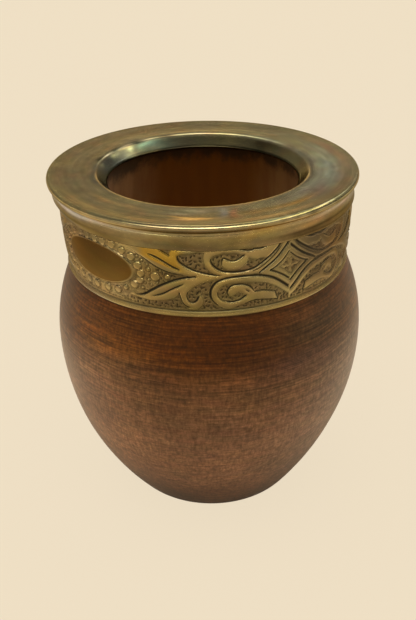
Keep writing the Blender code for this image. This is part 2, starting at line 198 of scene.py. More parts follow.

# Stains and painted light on the wood and on the chased band, by turn and height: real stains, with painted
# sheen on the wood's sides and painted shade at its top and foot, and on the band painted shade on its
# sides and painted reflections along its foot
WOOD_STAINS_AND_PAINTED_LIGHT = (
    (-40, 60, 17, 4.5, 0.9, (1.7, 2.2, 3.2)),
    (-45, 7, 22, 9, 0.8, (0.68, 0.7, 0.72)),
    (-62, 66, 10, 5, 0.6, (1.3, 2, 4)),
    (40, 64, 22, 7, 0.95, (0.86, 1.6, 7)),
    (66, 58, 12, 9, 0.8, (1.5, 2.3, 5)),
    (4, 66, 22, 8, 0.95, (0.55, 0.44, 0.1)),
    (-46, 66, 14, 6, 0.8, (1.5, 1.65, 1.45)),
    (-56, 50, 24, 11, 0.7, (1.35, 1.6, 2.1)),
    (62, 46, 24, 14, 0.9, (1.38, 2, 3.3)),
    (46, 26, 24, 22, 0.7, (0.98, 1.34, 1.9)),
    (8, 44, 24, 14, 0.7, (0.82, 0.88, 1.04)),
    (0, 8, 44, 9, 0.85, (0.76, 0.62, 0.5)),
    (-28, 34, 14, 14, 0.6, (1.12, 1.15, 1.15)),
    (150, 58, 18, 5, 0.8, (1.4, 1.8, 2.2)),
    (-130, 63, 16, 4, 0.6, (1.1, 1.4, 2.6)),
    (100, 40, 20, 9, 0.4, (0.85, 0.85, 0.95)),
)

BAND_STAINS_AND_PAINTED_LIGHT = (
    (60, 82, 26, 16, 0.95, (0.25, 0.235, 0.39)),
    (45, 82, 15, 16, 0.9, (0.36, 0.34, 0.5)),
    (-50, 82, 14, 14, 0.6, (0.66, 0.64, 0.86)),
    (-58, 71.8, 22, 0.35, 0.9, (1.5, 1.9, 3.4)),
    (62, 71.8, 22, 0.35, 0.9, (1.4, 1.8, 3.2)),
    (0, 74.2, 60, 0.5, 0.6, (0.7, 0.68, 0.6)),
    (5, 72.4, 50, 0.9, 0.6, (1.2, 1.2, 1.1)),
    (-18, 83, 9, 3, 0.7, (0.9, 0.78, 0.5)),
    (-66, 82, 24, 14, 0.9, (0.48, 0.46, 0.8)),
    (8, 79.5, 20, 6, 0.7, (1.16, 1.14, 1.06)),
    (-56, 76.5, 30, 2.5, 0.6, (0.86, 0.82, 0.95)),
    (-56, 84, 8, 4, 0.7, (1.2, 0.95, 0.8)),
    (-42, 80.5, 7, 3, 0.6, (0.95, 1.08, 1.1)),
    (70, 78, 14, 2.5, 0.7, (0.62, 0.52, 0.6)),
    (56, 85, 8, 3, 0.7, (0.6, 0.46, 0.5)),
    (-130, 80, 22, 8, 0.7, (0.75, 0.78, 0.9)),
    (150, 82, 18, 8, 0.7, (0.8, 0.82, 0.95)),
)


def ease(value):
    """From 0 to 1 while the value does, starting and ending gently."""
    value = np.clip(value, 0, 1)
    return value * value * (3 - 2 * value)


def bell(value, middle, spread):
    """1 at the middle, falling off smoothly on both sides."""
    return np.exp(-(((value - middle) / spread) ** 2))


def hump(share):
    """1 in the middle, falling to 0 where the share is 1 or -1."""
    return np.clip(1 - share**2, 0, 1)


def wrapped(degrees):
    """Turns brought to between -180 and 180."""
    return (degrees + 180) % 360 - 180


def ripple(turn, along, seed, waves=10, counts=(1, 8), pace=0.3):
    """Smooth unevenness, about -1 to 1, over a turn in radians and a length, closed round the axis."""
    draw = np.random.default_rng(seed)
    total = 0
    for _ in range(waves):
        count = draw.integers(*counts)
        total = total + np.cos(count * turn + draw.uniform(-pace, pace) * along + draw.uniform(0, math.tau))
    return total / math.sqrt(2 * waves)


def curve_through(points, steps):
    """A smooth curve through the points, with this many steps from each to the next."""
    points = np.array(points, float)
    points = np.vstack([2 * points[0] - points[1], points, 2 * points[-1] - points[-2]])
    share = (np.arange(steps) / steps)[:, None]
    parts = []
    for before, start, end, after in zip(points, points[1:], points[2:], points[3:]):
        bend = (2 * before - 5 * start + 4 * end - after) * share**2
        twist = (3 * start - before - 3 * end + after) * share**3
        parts.append(0.5 * (2 * start + (end - before) * share + bend + twist))
    return np.vstack([*parts, points[-2:-1]])


def arc(middle, radius, first, last, count):
    """Points on an arc, its ends in degrees up from level."""
    angles = np.radians(np.linspace(first, last, count))
    return np.stack([middle[0] + radius * np.cos(angles), middle[1] + radius * np.sin(angles)], axis=-1)


def ring_points(radius, height, turns):
    """Rows of points for arrays of radius and height, rows by turns in radians."""
    return np.stack([radius * np.sin(turns), -radius * np.cos(turns), height], axis=-1)


def skin(name, rows, closed=False, start=None, end=None):
    """A piece over rows of points that each run once round the axis, with its ends closed by a point."""
    count, across = rows.shape[:2]
    points = rows.reshape(-1, 3)
    index = np.arange(count * across).reshape(count, across)
    lower = index if closed else index[:-1]
    upper = np.roll(index, -1, axis=0) if closed else index[1:]
    corners = [lower, np.roll(lower, -1, axis=1), np.roll(upper, -1, axis=1), upper]
    quads = np.stack(corners, axis=-1).reshape(-1, 4)
    triangles = np.empty((0, 3), int)
    if not closed:
        points = np.vstack([points, start, end])
        first, last = index[0], index[-1]
        under = np.stack([np.roll(first, -1), first, np.full(across, len(points) - 2)], axis=-1)
        over = np.stack([last, np.roll(last, -1), np.full(across, len(points) - 1)], axis=-1)
        triangles = np.vstack([under, over])
    mesh = bpy.data.meshes.new(name)
    mesh.from_pydata((points * MM).tolist(), [], quads.tolist() + triangles.tolist())
    mesh.validate()
    mesh.shade_smooth()
    piece = bpy.data.objects.new(name, mesh)
    bpy.context.scene.collection.objects.link(piece)
    return piece


def give_values(piece, name, values):
    """Values for a piece's first points, and 0 for the rest."""
    attribute = piece.data.attributes.new(name, "FLOAT", "POINT")
    padded = np.zeros(len(piece.data.vertices), np.float32)
    padded[: values.size] = values.ravel()
    attribute.data.foreach_set("value", padded)


def give_tint(piece, tint):
    """A tint for a piece's first points, and white for the rest."""
    attribute = piece.data.attributes.new("tint", "FLOAT_COLOR", "POINT")
    padded = np.ones((len(piece.data.vertices), 4), np.float32)
    padded[: tint.size // 3, :3] = tint.reshape(-1, 3)
    attribute.data.foreach_set("color", padded.ravel())


def stains_and_painted_light(degree, reach, stains, drift, lift):
    """How stains and painted light (reflections, highlights, sheen and shade) tint a surface, their edges
    wandering by the drift in degrees and the lift in reach.
    """
    turns = np.radians(degree)
    drift = drift * ripple(turns, reach, 51, waves=16, counts=(3, 14), pace=0.8)
    lift = lift * ripple(turns, reach, 52, waves=16, counts=(3, 14), pace=0.8)
    tint = np.ones((*degree.shape, 3))
    for turn, at, turn_spread, spread, share, towards in stains:
        beside = wrapped(degree - turn + drift)
        above = reach + lift * min(spread, 1)
        weight = (share * bell(beside, 0, turn_spread) * bell(above, at, spread))[..., None]
        tint = tint * (1 - weight) + np.array(towards) * weight
    for part, seed in enumerate((53, 54, 55)):
        tint[..., part] *= 1 + 0.035 * ripple(turns, reach, seed, waves=30, counts=(2, 30), pace=2)
    return tint * (1 + 0.06 * ripple(turns, reach, 56, waves=30, counts=(2, 24), pace=3))[..., None]


# Wood body


def body_radius(height):
    fall = np.clip((BELLY_HEIGHT - height) / BELLY_HEIGHT, 0, None)
    rise = np.clip((height - BELLY_HEIGHT) / (BAND_FOOT - BELLY_HEIGHT), 0, None)
    return BELLY_RADIUS - FOOT_TAPER * fall**FOOT_POWER - SHOULDER_TAPER * rise**SHOULDER_POWER


def foot_corner(count):
    """The rounded edge between the foot's side and its flat underside."""
    side = np.array([body_radius(FOOT_SIDE_HEIGHT), FOOT_SIDE_HEIGHT])
    corner = np.array([body_radius(0), 0])
    up = (side - corner) / np.linalg.norm(side - corner)
    inward = np.array([-1, 0])
    half = math.acos(up @ inward) / 2
    middle = corner + (up + inward) / np.linalg.norm(up + inward) * FOOT_EDGE_RADIUS / math.sin(half)
    reach = FOOT_EDGE_RADIUS / math.tan(half)
    first = corner + inward * reach - middle
    last = corner + up * reach - middle
    points = []
    for share in np.linspace(0, 1, count):
        offset = first * (1 - share) + last * share
        points.append(middle + offset / np.linalg.norm(offset) * FOOT_EDGE_RADIUS)
    return points


def turned_cup():
    """The wood body, from the middle of its underside up its outer side and down into the hollow."""
    foot = foot_corner(9)
    under = [(radius, 0) for radius in np.linspace(2, foot[0][0] - 0.6, 16)]
    side = [(body_radius(height), height) for height in np.arange(foot[-1][1] + 0.5, NECK_FOOT, 0.5)]
    neck = [(body_radius(NECK_FOOT), NECK_FOOT), (NECK_RADIUS, NECK_FOOT + 0.05)]
    neck += [(NECK_RADIUS, height) for height in np.linspace(NECK_FOOT + 2, NECK_TOP - 0.5, 6)]
    top = [(NECK_RADIUS - 0.5, NECK_TOP), (BORE_RADIUS + 4, NECK_TOP), (BORE_RADIUS + 1, NECK_TOP)]
    bore = [*arc((BORE_RADIUS + 1, NECK_TOP - 1), 1, 90 + math.degrees(0.3), 180, 5)]
    for height in np.linspace(NECK_TOP - 2, HOLLOW_MIDDLE, 60):
        rise = (height - HOLLOW_MIDDLE) / (NECK_TOP - HOLLOW_MIDDLE)
        bore.append((HOLLOW_RADIUS - (HOLLOW_RADIUS - BORE_RADIUS) * rise**2, height))
    depth = HOLLOW_MIDDLE - HOLLOW_FLOOR
    for angle in np.linspace(math.pi / 2, 0.06, 48)[1:]:
        across = math.sin(angle) ** (2 / HOLLOW_POWER)
        down = math.cos(angle) ** (2 / HOLLOW_POWER)
        bore.append((HOLLOW_RADIUS * across, HOLLOW_MIDDLE - depth * down))
    profile = np.array([*under, *foot, *side, *neck, *top, *bore])
    turns = np.linspace(0, math.tau, CUP_STEPS, endpoint=False)
    height = profile[:, 1:] + 0 * turns
    outside = (np.arange(len(profile)) < len(under) + len(foot) + len(side))[:, None]
    turning = ripple(0 * turns, height, 5, waves=24, counts=(0, 1), pace=9)
    uneven = ripple(turns, height, 6, waves=12, counts=(1, 4), pace=0.5)
    worn = TURNING_DEPTH * np.abs(turning) + CUP_UNEVENNESS * (1 + uneven) / 2
    points = ring_points(profile[:, :1] - np.where(outside, worn, 0), height, turns)
    leaning = FOOT_LEAN * bell(height, 0, 5) + LOW_LEAN * bell(height, 22, 11)
    points[..., 0] += np.where(outside, leaning, 0)
    piece = skin("turned_cup", points, start=(0, 0, 0), end=(0, 0, HOLLOW_FLOOR))
    tint = stains_and_painted_light(np.degrees(turns) + 0 * height, height, WOOD_STAINS_AND_PAINTED_LIGHT, 2, 0.6)
    give_tint(piece, np.where(outside[..., None], tint, 1))
    return piece


# Rim


def collar_rim():
    """The rim's sheet: lip, dished plate, bead and skirt, and their plain backs."""
    inward = BEAD_RADIUS - BEAD_TOP_RADIUS
    turn = math.radians(BEAD_TOP_END)
    bead_top = (BEAD_CENTRE + inward * math.cos(turn), inward * math.sin(turn))
    profile = np.vstack(
        [
            curve_through(LIP_SIDE + PLATE, 4),
            arc(bead_top, BEAD_TOP_RADIUS, 94, BEAD_TOP_END, 8),
            arc((BEAD_CENTRE, 0), BEAD_RADIUS, BEAD_TOP_END, -70, 20)[1:],
            curve_through(SKIRT, 4),
            PLAIN_BACK,
            np.add(LIP_SIDE[:1:-1], LIP_INSET),
        ]
    )
    turns = np.linspace(0, math.tau, RIM_STEPS, endpoint=False)
    radius = profile[:, :1] + 0 * turns
    height = RIM_PLANE + profile[:, 1:] + 0 * turns
    degree = np.degrees(turns) + 0 * radius
    side = wrapped(degree)
    drop = RIM_PLANE - height
    on_plate = ease((radius - 29) / 3) * ease((39.4 - radius) / 2.5) * (drop < TOP_DROP)
    on_skirt = ease(drop - 1.8) * (radius > SKIRT_INSIDE)
    wave = 1 + ripple(turns, radius, 11, waves=14, counts=(2, 9), pace=0.5)
    height = height - PLATE_WAVE * on_plate * wave
    height = height - RIM_WAVE * (1 + ripple(turns, 0 * radius, 12, waves=6, counts=(1, 5))) * (drop < 2)
    radius = radius + SKIRT_WAVE * on_skirt * ripple(turns, height, 13, waves=14, counts=(3, 16), pace=0.6)
    inner = ease((radius - 29.6) / 4.4)
    outer = ease((37.2 - radius) / 3.3)
    dent = bell(side + 1.5 * np.sin(radius * 2.1), -5, 8) * inner * outer
    crease = bell(side, 9, 6) * bell(radius, 34.5, 2.2) * np.cos(np.radians(side) * 120)
    height = height - (DENT_DEPTH * dent + CREASE_DEPTH * crease) * (drop < TOP_DROP)
    points = ring_points(radius, height, turns)
    shift = ease((drop - 4) / (SKIRT_HEM_DROP - 4))
    points[..., 0] += RIM_OFFSET + (BAND_OFFSETS[1] - RIM_OFFSET) * shift
    reach = np.where((radius > 39.5) | (drop > 1.2), 41 + drop, radius)
    tint = stains_and_painted_light(degree, reach, RIM_STAINS_AND_PAINTED_LIGHT, 3, 0.5)
    # The lip's face takes its darker tone, partly tarnish and partly painted dark reflection, with its
    # stains, painted reflections and painted highlights
    face = ease((28.2 - radius) / 0.7)[..., None]
    tint = tint * (1 - face) + face * LIP_TARNISH_AND_SHADE * stains_and_painted_light(degree, drop, LIP_STAINS_AND_PAINTED_LIGHT, 4, 0.3)
    # Painted shade: the lip's lower edge darker, and the skirt's lower part darker towards the sides
    lip_foot_shade = ease((drop - 1.9) / 0.4) * (radius < 27)
    low = ease((drop - 3.2) / 1.2) * ease((np.abs(side) - 14) / 22) * (radius > SKIRT_INSIDE)
    tint = tint * (1 - 0.7 * lip_foot_shade[..., None]) * (1 - low[..., None] * (0.62, 0.66, 0.7))
    piece = skin("collar_rim", points[:, ::-1], closed=True)
    give_tint(piece, tint[:, ::-1])
    return piece


# Chasing. Its places are turns and heights, for the stretch from the plain oval at the left to the lozenge
# at the right, and the rest of the band mirrors and repeats it.

FIELD_FOOT = 73.5
FIELD_MIDDLE = 82.6
MIRROR_LEAN = 0.33
BORDER_TOP = 73.75
BORDER_GROOVE = 73.36
BORDER_LINE = 72.55
LOZENGE_TURNS = (30, 177, 243)
OVAL_TURNS = (-43.8, 103.5)
CHART_CELL = 0.06
CHART_START = -46
CHART_END = 33
POCKET_DEPTH = 0.2
POCKET_WALL = 0.52
MARK_PITCH = 0.98
MARK_DEPTH = 0.14

# Sunk grounds, each a closed outline of smooth strokes that meet at corners
POCKETS = {
    "oval_field": (
        ((-50, 89.8), (-33, 89.5), (-31, 88.8), (-28.5, 88.6), (-26.5, 88.3), (-24, 87.5), (-20, 85.7),
         (-17, 84.55), (-14, 83.7), (-11, 83.25), (-7, 82.9), (-4.3, 82.62)),
        ((-4.3, 82.62), (-8, 82.25), (-12, 81.4), (-16, 80), (-20, 78.2), (-23, 76.8), (-26, 76.3),
         (-27.2, 76.9)),
        ((-27.2, 76.9), (-28.6, 76.2), (-30, 75), (-31, FIELD_FOOT)),
        ((-50, FIELD_FOOT),),
    ),
    "notch": (
        ((-16.3, 89.5), (-12.6, 87.95)),
        ((-12.6, 87.95), (-12.2, 88.8), (-11.3, 89.5)),
    ),
    "upper_pocket": (
        ((-8.9, 88.45), (-9.8, 88), (-9.8, 87.2), (-9, 86.25), (-6.5, 85.05), (-4, 84.25), (-1, 83.6),
         (2, 83.15), (4.2, 82.9)),
        ((4.2, 82.9), (2.3, 83.5), (0.9, 84.3), (-0.3, 85.4), (-1, 86.8), (-1, 88), (-0.7, 88.9)),
        ((-0.7, 88.9), (-3, 89.1), (-6, 88.7), (-8.9, 88.45)),
    ),
    "upper_crescent": (
        ((1.3, 87.5), (1.3, 86.6), (2.2, 85.5), (4, 84.45), (6, 83.85), (9, 83.6), (13, 83.65),
         (16, 84.05), (18, 84.7), (20.8, 86.3)),
        ((20.8, 86.4), (18.5, 86.6), (17, 86.4), (15.5, 86.6), (14.1, 87.05)),
        ((14.1, 87.05), (13.4, 86.1), (12.2, 85), (11, 84.45), (9.3, 84.3), (7.3, 84.4), (5.8, 84.9),
         (5.05, 85.8), (5, 86.7), (5.5, 87.3), (6.3, 87.15), (7.5, 86.75), (9, 86.5), (10.5, 86.8),
         (12.4, 87.65)),
        ((12.4, 87.65), (11, 88.2), (9, 88.6), (7, 88.6), (5.6, 88.8), (4.5, 88.5), (3.2, 88.3),
         (1.9, 87.95), (1.3, 87.5)),
    ),
    "seam_pocket": (
        ((10.3, 89.5), (12, 89.15), (13.5, 88.9), (15.3, 88.8), (16.1, 89.1), (17.2, 88.95), (19, 88.95),
         (21, 89.3), (22.5, 89.6)),
    ),
    "lower_pocket": (
        ((13.2, 77), (11.2, 76.05), (9, 75.7), (7, 75.8), (4.8, 76.3), (3.5, 77.3), (3.3, 78.6), (4.5, 80),
         (6.5, 80.65), (10, 80.85), (15, 80.55), (20, 79.85), (22, 79.25), (25, 78), (28, 76.35),
         (30, 75.25), (32, 74.5)),
        ((32, FIELD_FOOT), (26, FIELD_FOOT), (25.6, 74.7), (25, 75.6), (24.3, 76.8)),
        ((24.3, 76.8), (21, 77.5), (19, 77.85), (16.6, 77.7)),
        ((16.6, 77.7), (16, 78.1), (15.4, 78.8), (14.4, 79.5), (12.5, 80), (10.5, 80.2), (8.5, 80),
         (7.2, 79.3), (6.7, 78.3), (7.2, 77.45), (8.3, 77.3), (9.5, 77.8), (10.8, 78.2), (12.2, 77.75),
         (13.2, 77)),
    ),
    "strip": (
        ((8, FIELD_FOOT), (10.5, 74.5), (13, 74.9), (16, 75.35), (18.5, 75.3), (22, 74.85), (25.6, 74.45)),
        ((25.6, FIELD_FOOT),),
    ),
    "hook_pocket": (
        ((-3.35, 77.2), (-4, 76.3), (-5.5, 75.7), (-6.8, 76.3), (-7.3, 77.4), (-7, 78.4), (-6, 79.4),
         (-4.5, 80.25), (-2, 81.15), (1, 81.8), (4.6, 82.25)),
        ((4.6, 82.25), (3, 81.5), (1.7, 80.4), (1, 79), (0.9, 77.7), (1.3, 76.6), (2.2, 75.6), (3.5, 74.8),
         (5, 74.35), (7, FIELD_FOOT)),
        ((-4.4, FIELD_FOOT), (-2.6, 74.75), (-1.8, 75.9), (-2, 77.1), (-2.8, 77.65), (-3.35, 77.2)),
    ),
    "corner_pocket": (
        ((-9.9, 78.1), (-11.3, 77.15), (-14, 76.25), (-17, 75.75), (-20, 75.45), (-23, 75.55), (-27, 75.9),
         (-32, 76.2)),
        ((-32, FIELD_FOOT), (-6, FIELD_FOOT)),
        ((-6, FIELD_FOOT), (-7.6, 74.6), (-8.7, 75.4), (-9.4, 76.6), (-9.9, 78.1)),
    ),
    "gap": (
        ((13, 82.36), (16, 82.7), (18.4, 82.75)),
        ((18.4, 82.75), (17.9, 82.05), (13, 82.28)),
    ),
    "star_ground": (
        ((25.2, 83.1), (27.2, 83.9), (28.9, 85.2)),
        ((28.9, 85.2), (30.6, 84.2), (34.6, 82.9)),
        ((34.6, 82.9), (32, 81.9), (30.1, 80.3)),
        ((30.1, 80.3), (28.2, 81.7), (25.2, 83.1)),
    ),
}

# Cut lines: their route, width, depth, and the share of the width that each end keeps
CUTS = (
    (((-20.3, 87.9), (-16.5, 86.9), (-12, 85.15), (-9.6, 84.4)), 0.5, 0.3, 0.3, 0.8),
    (((-19.6, 76.7), (-16, 77.6), (-12, 79.3), (-8.2, 80.7)), 0.36, 0.22, 0.3, 0.4),
    (((-4.1, 82.68), (-8, 82.3), (-12, 81.4), (-16, 80), (-20, 78.2), (-23, 76.8), (-26, 76.25)),
     0.5, 0.3, 0.9, 0.4),
    (((-23, 87.1), (-20, 85.75), (-17, 84.6), (-14, 83.75), (-11, 83.25), (-6.5, 82.95)),
     0.3, 0.2, 0.4, 0.3),
    (((-16.2, 89.3), (-12.6, 87.95)), 0.4, 0.25, 0.7, 0.8),
    (((-9.85, 87.8), (-9.8, 87.2), (-9, 86.25), (-6.5, 85.05), (-4, 84.25), (-1, 83.6), (2, 83.15),
      (4.5, 82.85)),
     0.45, 0.36, 0.6, 0.25),
    (((1.3, 87.2), (1.3, 86.6), (2.2, 85.5), (4, 84.45), (6, 83.85), (9, 83.6), (13, 83.65), (16, 84.05),
      (18, 84.7), (20.7, 85.9), (23, 87.1), (25, 88.4), (26.2, 89.6)),
     0.46, 0.38, 0.5, 1),
    (((5, 85.6), (5, 86.7), (5.6, 87.3), (6.4, 87.1), (7.5, 86.7), (9, 86.45), (10.5, 86.75), (12.5, 87.7)),
     0.34, 0.34, 0.3, 1),
    (((10.5, 89.4), (12, 89.1), (13.5, 88.85), (15.3, 88.75), (16.1, 89.05), (17.2, 88.9), (19, 88.9),
      (21, 89.3)),
     0.36, 0.3, 0.8, 0.6),
    (((31.1, 76.4), (28.5, 77.9), (25.5, 79.6), (22.5, 80.9), (18.5, 81.85), (14, 82.22), (10, 82.28),
      (6, 82), (3, 81.15), (1.5, 79.9), (0.92, 78.5), (1, 77.2), (1.9, 75.9), (3.5, 74.85)),
     0.5, 0.36, 1, 0.35),
    (((3.35, 78.4), (3.5, 77.3), (4.8, 76.3), (7, 75.75), (9, 75.65), (11.2, 76), (13.3, 77)),
     0.42, 0.36, 0.4, 1.2),
    (((16, 78.1), (15.4, 78.8), (14.4, 79.5), (12.5, 80.05), (10.5, 80.25), (8.5, 80.05), (7.15, 79.35),
      (6.65, 78.3), (7.2, 77.4)),
     0.38, 0.34, 0.4, 0.4),
    (((-3.3, 77.3), (-4, 76.3), (-5.5, 75.7), (-6.8, 76.3), (-7.3, 77.4), (-6.9, 78.6)),
     0.4, 0.34, 1.1, 0.3),
    (((-9.95, 78.2), (-9.4, 76.6), (-8.7, 75.4), (-7.6, 74.65), (-6.2, 74.25)), 0.3, 0.26, 1, 0.5),
    (((13.1, 78.65), (14.3, 78)), 0.34, 0.2, 0.5, 0.8),
    (((16.4, 77.75), (19, 77.8), (21, 77.5), (24.4, 76.8)), 0.3, 0.26, 0.6, 0.8),
    (((24.4, 76.8), (25, 75.6), (25.7, 74.7)), 0.26, 0.2, 1, 1),
    (((13, 74.8), (16, 75.3), (18.5, 75.25), (22, 74.8), (25.6, 74.4)), 0.26, 0.2, 0.5, 1),
    (((18.2, 82.65), (20, 83.5), (23, 84.85), (25.5, 86.3), (28.6, 88.7), (29.2, 89.4)),
     0.5, 0.36, 0.8, 0.8),
    (((22.1, 82.72), (23.8, 82.2), (26.5, 81.1), (28.5, 80.1), (30.5, 79), (30.9, 78.8)),
     0.36, 0.26, 1.2, 1.3),
    (((22.1, 82.72), (24, 83.3), (26.5, 84.5), (28.2, 85.7), (29.4, 86.7)), 0.32, 0.22, 1.2, 0.8),
    (((15, 83.2), (18, 83.9), (21, 85.2), (24.2, 87), (27.2, 89.4)), 0.22, 0.05, 0.3, 0.3),
)

# Small bosses beside the oval field: turn, height and radius
FIELD_BOSSES = (
    (-18.2, 81.9, 1.2), (-13.7, 82.2, 0.72), (-20.5, 83.6, 0.55), (-23.2, 78.5, 0.5), (-24.5, 86.7, 0.42),
    (-22.8, 85.8, 0.42), (-20.8, 85, 0.42), (-16.2, 83.6, 0.36), (-20.6, 80.9, 0.4), (-19.8, 79.6, 0.36),
    (-17.6, 80.2, 0.34), (-22.2, 79.9, 0.34), (-22, 77.7, 0.34),
)

# Bosses in a ring round an oval: degrees from its middle, height and radius
RING_BOSSES = (
    (-15.7, 76.2, 1), (-10.7, 75.9, 1.05), (-6.2, 75.6, 1.1), (-1.2, 75.5, 1.15), (4.8, 75.9, 1.1),
    (9.8, 76.2, 1.1), (13.4, 77.4, 0.8), (17.3, 78.9, 1.15), (19.7, 80.4, 1.05), (20.2, 82.3, 1.1),
    (19.2, 84.2, 1.15), (16.9, 86.2, 1.1), (13.3, 87.2, 1), (9, 88.2, 1.15), (4.8, 88.3, 1.1),
    (0.8, 88.4, 1.1), (-3.7, 88.4, 1.1), (-8, 88.3, 1.1), (-13.2, 87.4, 1.1), (-16.9, 86.3, 1.1),
    (-19.4, 84.4, 1.1), (-20.2, 82.3, 1.1), (-19.6, 80.2, 1.1), (-18.2, 78.2, 1.1),
)

OVAL_HALF_WIDTH = 17.2
OVAL_HALF_HEIGHT = 5
OVAL_HEIGHT = 82.35
OVAL_REACH = 26

# The star inside the lozenge
STAR_MIDDLE = (29.8, 82.75)
STAR_TIPS = ((25.9, 83.1), (28.9, 84.9), (33.9, 82.85), (30.1, 80.7))
PETAL_WIDTH = 0.85


def flat(points):
    """Places in degrees and heights laid out flat, in millimetres."""
    return np.asarray(points, float) * (DEGREE, 1)


def traced(points):
    """A smooth line through the places, laid out flat."""
    return curve_through(flat(points), 6) if len(points) > 2 else flat(points)


def distance_to_route(across, up, route, widths):
    """Distance to a route of straight pieces, and the width that the route has at its nearest point."""
    nearest = np.full(across.shape, 1e9)
    width = np.zeros(across.shape)
    for (x, y), end, first, last in zip(route, route[1:], widths, widths[1:]):
        run = end - (x, y)
        length = run @ run
        if length < 1e-12:
            continue
        share = np.clip(((across - x) * run[0] + (up - y) * run[1]) / length, 0, 1)
        distance = np.hypot(across - x - share * run[0], up - y - share * run[1])
        closer = distance < nearest
        nearest = np.where(closer, distance, nearest)
        width = np.where(closer, first + (last - first) * share, width)
    return nearest, width


def depth_inside(across, up, outline):
    """Distance from a closed outline, positive inside it."""
    around = np.vstack([outline, outline[:1]])
    distance, _ = distance_to_route(across, up, around, np.zeros(len(around)))
    inside = np.zeros(across.shape, bool)
    for (x0, y0), (x1, y1) in zip(around, around[1:]):
        if y0 != y1:
            crosses = (y0 > up) != (y1 > up)
            inside ^= crosses & (across < (x1 - x0) * (up - y0) / (y1 - y0) + x0)
    return np.where(inside, distance, -distance)


def add_boss(height, sunk, dark, distance, radius, rise=0.13, shade=0.55):
    """A low dome in a ring-shaped groove, worked into the arrays in place."""
    on_dome = ease((radius - distance) / 0.2)
    groove = shade * hump((distance - radius - 0.05) / 0.23)
    dome = 0.04 - rise + rise * np.sqrt(hump(distance / radius))
    height[...] = height * (1 - on_dome) + on_dome * dome - 0.28 * groove
    sunk *= 1 - on_dome
    dark[...] = np.maximum(dark * (1 - on_dome), groove)


class Chart:
    """The chasing laid out flat, in layers: height, how far sunk, how dark and how far from an edge."""

    def __init__(self):
        self.across = np.arange(CHART_START * DEGREE, CHART_END * DEGREE, CHART_CELL)
        self.up = np.arange(BAND_FOOT - 0.5, BAND_TOP + 1, CHART_CELL)
        self.layers = np.zeros((4, len(self.up), len(self.across)))
        self.layers[3] = 9
        for strokes in POCKETS.values():
            self.pocket(np.vstack([traced(stroke) for stroke in strokes]))
        for cut in CUTS:
            self.cut(*cut)
        for boss in FIELD_BOSSES:
            self.boss(*boss)
        for tip in STAR_TIPS:
            self.petal(flat(STAR_MIDDLE), flat(tip))
        height, sunk, _, edge = self.layers
        height -= 0.06 * (1 - sunk) * np.clip(1 - edge / 0.7, 0, 1) ** 2

    def window(self, points, margin=1.2):
        """The places round some points, and the layers there."""
        low = points.min(axis=0) - margin
        high = points.max(axis=0) + margin
        columns = slice(*np.searchsorted(self.across, (low[0], high[0])))
        rows = slice(*np.searchsorted(self.up, (low[1], high[1])))
        across, up = np.meshgrid(self.across[columns], self.up[rows])
        return across, up, self.layers[:, rows, columns]

    def pocket(self, outline):
        across, up, (height, sunk, dark, edge) = self.window(outline)
        depth = depth_inside(across, up, outline)
        wall = ease(depth / POCKET_WALL)
        np.minimum(height, -POCKET_DEPTH * wall, out=height)
        np.maximum(sunk, wall, out=sunk)
        np.maximum(dark, 0.65 * ease(1 - np.abs(depth - 0.12) / 0.26), out=dark)
        np.minimum(edge, np.abs(np.minimum(depth, 0)), out=edge)

    def cut(self, route, width, depth, first, last):
        route = traced(route)
        share = np.linspace(0, 1, len(route))
        taper = np.minimum(first + share * 6 * (1 - first), last + (1 - share) * 6 * (1 - last))
        ends = np.where(share < 0.5, min(first, 1), min(last, 1))
        across, up, (height, sunk, dark, edge) = self.window(route)
        widths = width * np.maximum(np.minimum(1, taper), ends)
        distance, here = distance_to_route(across, up, route, widths)
        height -= 0.8 * depth * hump(distance / (0.68 * here + 1e-9)) * (1 - 0.45 * sunk)
        np.maximum(dark, ease(1.4 * hump(distance / (0.82 * here + 1e-9))), out=dark)
        np.minimum(edge, np.maximum(distance - here / 2, 0), out=edge)

    def boss(self, place, level, radius):
        centre = flat((place, level))
        across, up, layers = self.window(centre[None], radius + 0.8)
        add_boss(*layers[:3], np.hypot(across - centre[0], up - centre[1]), radius)

    def petal(self, start, end):
        """A leaf shape with a rounded back."""
        across, up, (height, sunk, dark, _) = self.window(np.array([start, end]))
        run = end - start
        length = np.linalg.norm(run)
        along = ((across - start[0]) * run[0] + (up - start[1]) * run[1]) / length**2
        side = ((across - start[0]) * run[1] - (up - start[1]) * run[0]) / length
        half = PETAL_WIDTH / 2 * np.sqrt(np.clip(np.sin(np.pi * np.clip(along, 0, 1)), 0, 1))
        on = ease((half - np.abs(side)) / 0.16) * (half > 0.02)
        height[...] = height * (1 - on) + on * (-0.12 + 0.14 * hump(side / (half + 1e-6)))
        sunk *= 1 - on
        dark *= 1 - 0.8 * on

    def read(self, across, up):
        """The height, sunk and dark layers at these places."""
        column = np.clip((across - self.across[0]) / CHART_CELL, 0, len(self.across) - 1.001)
        row = np.clip((up - self.up[0]) / CHART_CELL, 0, len(self.up) - 1.001)
        left = column.astype(int)
        low = row.astype(int)
        right_share = column - left
        high_share = row - low
        layers = self.layers[:3]
        lower = layers[:, low, left] * (1 - right_share) + layers[:, low, left + 1] * right_share
        upper = layers[:, low + 1, left] * (1 - right_share) + layers[:, low + 1, left + 1] * right_share
        return lower * (1 - high_share) + upper * high_share


